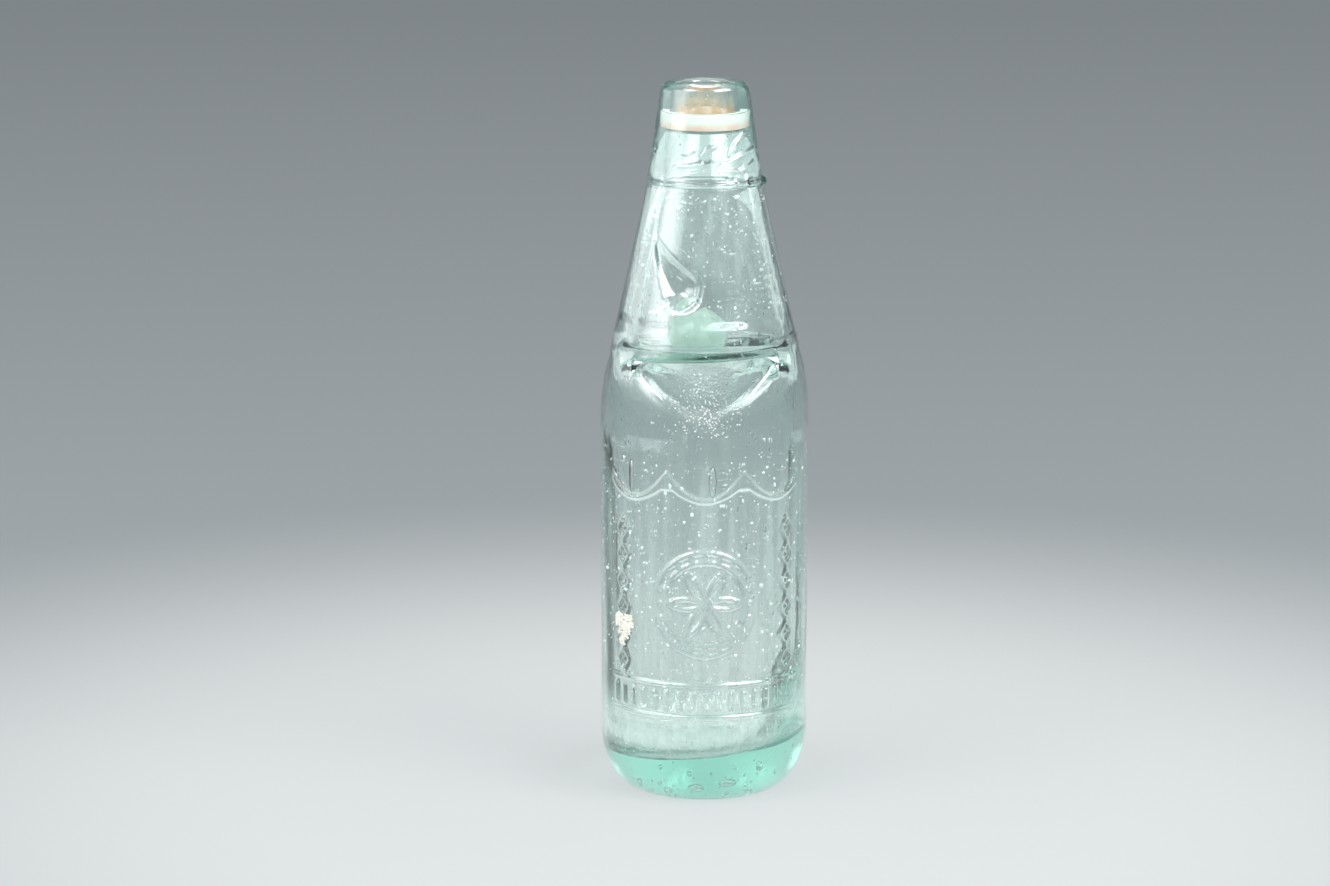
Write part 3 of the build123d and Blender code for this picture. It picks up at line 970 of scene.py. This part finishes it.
def marbleGlassMaterial():
    # Pressed glass ball: mint green and milky inside, with a paler swirl, its skin dulled and
    # bruised by rolling on the shelves.
    look = {"ior": 1.51, "roughness": 0.1, "clear": 0.25, "milk": 0.8, "milkReach": 5.0,
            "colour": "#B2CDC1", "swirlColour": "#CBDDD5", "swirlSize": 7.0,
            "bruiseSize": 1.6, "bruiseDeep": 0.05}
    material, add, place = newMaterial("mintMarbleGlassPressed")
    swirl = add("TexNoise", {
        "Scale": 1 / (look["swirlSize"] * mm), "Detail": 3.0, "Distortion": 1.5}, {"Vector": place})
    mixed = add("ValToRGB", {"stops": ((0.35, look["colour"]), (0.7, look["swirlColour"]))}, {0: swirl})
    bruise = add("TexNoise", {"Scale": 1 / (look["bruiseSize"] * mm), "Detail": 4.0}, {"Vector": place})
    bump = add("Bump", {"Strength": 1.0, "Distance": look["bruiseDeep"] * mm}, {"Height": bruise})
    surface = add("BsdfPrincipled", {
        "IOR": look["ior"], "Transmission Weight": look["clear"], "Roughness": look["roughness"],
        "Subsurface Weight": look["milk"], "Subsurface Radius": (1, 1, 1),
        "Subsurface Scale": look["milkReach"] * mm},
        {"Base Color": mixed, "Normal": bump})
    add("OutputMaterial", links={"Surface": surface})
    return material


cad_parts["marble"].material_slots[0].material = marbleGlassMaterial()


# The rubber ring

def ringRubberMaterial():
    # Natural rubber, moulded and perished: chalky cream with a matte face, gone pink in patches
    # towards its lower edge.
    look = {"cream": "#F8F3EE", "pink": "#F2C8B8", "roughness": 0.75, "patchSize": 4.0, "grainSize": 0.6,
            "grainDeep": 0.05, "pinkBelow": 212.6, "fade": 1.6}
    material, add, place = newMaterial("creamRubberMoulded")
    height = add("SeparateXYZ", links={0: place}).outputs["Z"]
    lower = add("MapRange", smooth | {
        "From Min": (look["pinkBelow"] + look["fade"]) * mm,
        "From Max": (look["pinkBelow"] - look["fade"]) * mm}, {"Value": height})
    patch = add("TexNoise", {"Scale": 1 / (look["patchSize"] * mm), "Detail": 4.0}, {"Vector": place})
    share = add("Math", multiply, {0: lower, 1: patch})
    mixed = add("ValToRGB", {"stops": ((0.05, look["cream"]), (0.6, look["pink"]))}, {0: share})
    grain = add("TexNoise", {"Scale": 1 / (look["grainSize"] * mm), "Detail": 3.0}, {"Vector": place})
    bump = add("Bump", {"Strength": 1.0, "Distance": look["grainDeep"] * mm}, {"Height": grain})
    surface = add("BsdfPrincipled", {"Roughness": look["roughness"]},
                  {"Base Color": mixed, "Normal": bump})
    add("OutputMaterial", links={"Surface": surface})
    return material


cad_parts["sealing_ring"].material_slots[0].material = ringRubberMaterial()
print("marble and ring finished")


# Stage, light and camera

stage = {"floorSize": 12.0, "evenShare": 0.65, "fill": 0.3,
         # a painted pool of light: the floor's colour, pale near the bottle and darker away from it, at
         # distances from the bottle in metres
         "paintedPoolColours": ((0.13, "#D4D8D9"), (0.48, "#9EA5A8"), (4.0, "#8F969A")),
         "horizon": "#8D9497", "zenith": "#7C8387", "glassHorizon": "#ECF0F1", "glassZenith": "#DDE3E5"}


def seenByEye(add, direct=1.0):
    # 1 for the rays that glass sees by, a share for those of the camera and gloss, 0 for the rest
    rays = add("LightPath")
    straight = add("Math", {"operation": "MAXIMUM"}, {
        0: rays.outputs["Is Camera Ray"], 1: rays.outputs["Is Glossy Ray"]})
    seen = add("Math", {"operation": "MULTIPLY", 1: direct}, {0: straight})
    return add("Math", {"operation": "MAXIMUM"}, {0: seen, 1: rays.outputs["Is Transmission Ray"]})


def buildStage():
    shape = bmesh.new()
    bmesh.ops.create_grid(shape, x_segments=8, y_segments=8, size=stage["floorSize"] / 2)
    mesh = bpy.data.meshes.new("floor")
    shape.to_mesh(mesh)
    shape.free()
    floor = bpy.data.objects.new("floor", mesh)
    bpy.context.scene.collection.objects.link(floor)
    material, add, place = newMaterial("floorWithPaintedPool")
    # painted pool of light: pale round the bottle and darker further off, in the lit floor and in its
    # even glow
    away = add("VectorMath", {"operation": "LENGTH"}, {0: place})
    farthest = stage["paintedPoolColours"][-1][0]
    part = add("Math", {"operation": "DIVIDE", 1: farthest}, {0: away.outputs["Value"]})
    stops = [(distance / farthest, colour) for distance, colour in stage["paintedPoolColours"]]
    shade = add("ValToRGB", {"stops": stops}, {0: part})
    shade.color_ramp.interpolation = "EASE"
    surface = add("BsdfPrincipled", {"Roughness": 0.6, "Specular IOR Level": 0.2}, {"Base Color": shade})
    even = add("Emission", {"Strength": 1.0}, {"Color": shade})
    both = add("MixShader", links={0: seenByEye(add, stage["evenShare"]), 1: surface, 2: even})
    add("OutputMaterial", links={"Surface": both})
    mesh.materials.append(material)


def buildWorld():
    # The camera and the gloss see a grey room that darkens overhead, the glass bends in a paler
    # one, and what lights the surfaces is an even grey.
    world = bpy.data.worlds.new("studio")
    world.use_nodes = True
    world.node_tree.nodes.clear()
    bpy.context.scene.world = world
    add = partial(addNode, world.node_tree)
    parts = add("SeparateXYZ", links={0: add("TexCoord").outputs["Generated"]})
    rooms = []
    for low, high in (("horizon", "zenith"), ("glassHorizon", "glassZenith")):
        ramp = add("ValToRGB", {"stops": ((0.05, stage[low]), (0.5, stage[high]))},
                   {0: parts.outputs["Z"]})
        rooms.append(add("Background", {"Strength": 1.0}, {"Color": ramp}))
    rays = add("LightPath")
    view = add("MixShader", links={0: rays.outputs["Is Transmission Ray"], 1: rooms[0], 2: rooms[1]})
    light = add("Background", {"Color": (1, 1, 1, 1), "Strength": stage["fill"]})
    both = add("MixShader", links={0: seenByEye(add), 1: light, 2: view})
    add("OutputWorld", links={"Surface": both})


# all lamps point at the bottle's middle; each is name, place and size in metres, watts, feather
lampAim = Vector((0, 0, 0.11))
lamps = (
    ("keySoftbox", (-0.98, -0.4, 0.52), (1.2, 0.8), 14, 0.4),
    ("highLeftSoftbox", (-0.62, -0.6, 0.89), (0.95, 0.4), 12, 0.3),
    ("highRightSoftbox", (0.68, -0.57, 0.86), (1.1, 0.6), 31, 0.3),
    ("sideLeftPanel", (-1.1, 0.4, 0.32), (1.0, 0.36), 1.6, 0.3),
    ("sideRightPanel", (1.1, 0.4, 0.5), (1.0, 0.3), 1.0, 0.3),
    ("topSoftbox", (0.05, 0.1, 1.3), (0.8, 0.8), 2, 0.2),
)


def addLamp(name, place, size, power, feather):
    # a softbox whose cloth glows less and less over the feather, a share of its width, at each edge
    data = bpy.data.lights.new(name, "AREA")
    data.shape = "RECTANGLE"
    data.size, data.size_y = size
    data.energy = power
    data.use_nodes = True
    add = partial(addNode, data.node_tree)
    cloth = add("NewGeometry").outputs["Parametric"]
    offMiddle = add("VectorMath", {"operation": "SUBTRACT", 1: (0.5, 0.5, 0.0)}, {0: cloth})
    parts = add("SeparateXYZ", links={0: offMiddle})
    glows = []
    for key in ("X", "Y"):
        away = add("Math", {"operation": "ABSOLUTE"}, {0: parts.outputs[key]})
        glows.append(add("MapRange", smooth | {"From Min": 0.5, "From Max": 0.5 - feather},
                         {"Value": away}))
    glow = add("Math", multiply, {0: glows[0], 1: glows[1]})
    data.node_tree.links.new(glow.outputs[0], data.node_tree.nodes["Emission"].inputs["Strength"])
    lamp = bpy.data.objects.new(name, data)
    lamp.location = place
    lamp.visible_camera = False
    lamp.rotation_euler = (lampAim - Vector(place)).to_track_quat("-Z", "Y").to_euler()
    bpy.context.scene.collection.objects.link(lamp)


cameraSetup = {"side": -12.45, "back": -1130.0, "height": 325.0, "pitchDown": 10.72,
               "focalPixels": 3630.0, "imageWidth": 1330.0, "sensorWidth": 36.0}


def buildCamera():
    data = bpy.data.cameras.new("camera")
    data.sensor_width = cameraSetup["sensorWidth"]
    data.lens = cameraSetup["focalPixels"] / cameraSetup["imageWidth"] * cameraSetup["sensorWidth"]
    data.clip_start, data.clip_end = 0.05, 50
    camera = bpy.data.objects.new("camera", data)
    camera.location = [cameraSetup[key] * mm for key in ("side", "back", "height")]
    camera.rotation_euler = (math.radians(90 - cameraSetup["pitchDown"]), 0, 0)
    bpy.context.scene.collection.objects.link(camera)
    bpy.context.scene.camera = camera


buildStage()
buildWorld()
for lamp in lamps:
    addLamp(*lamp)
buildCamera()
bpy.context.scene.view_settings.view_transform = "Standard"
print("stage, light and camera set")
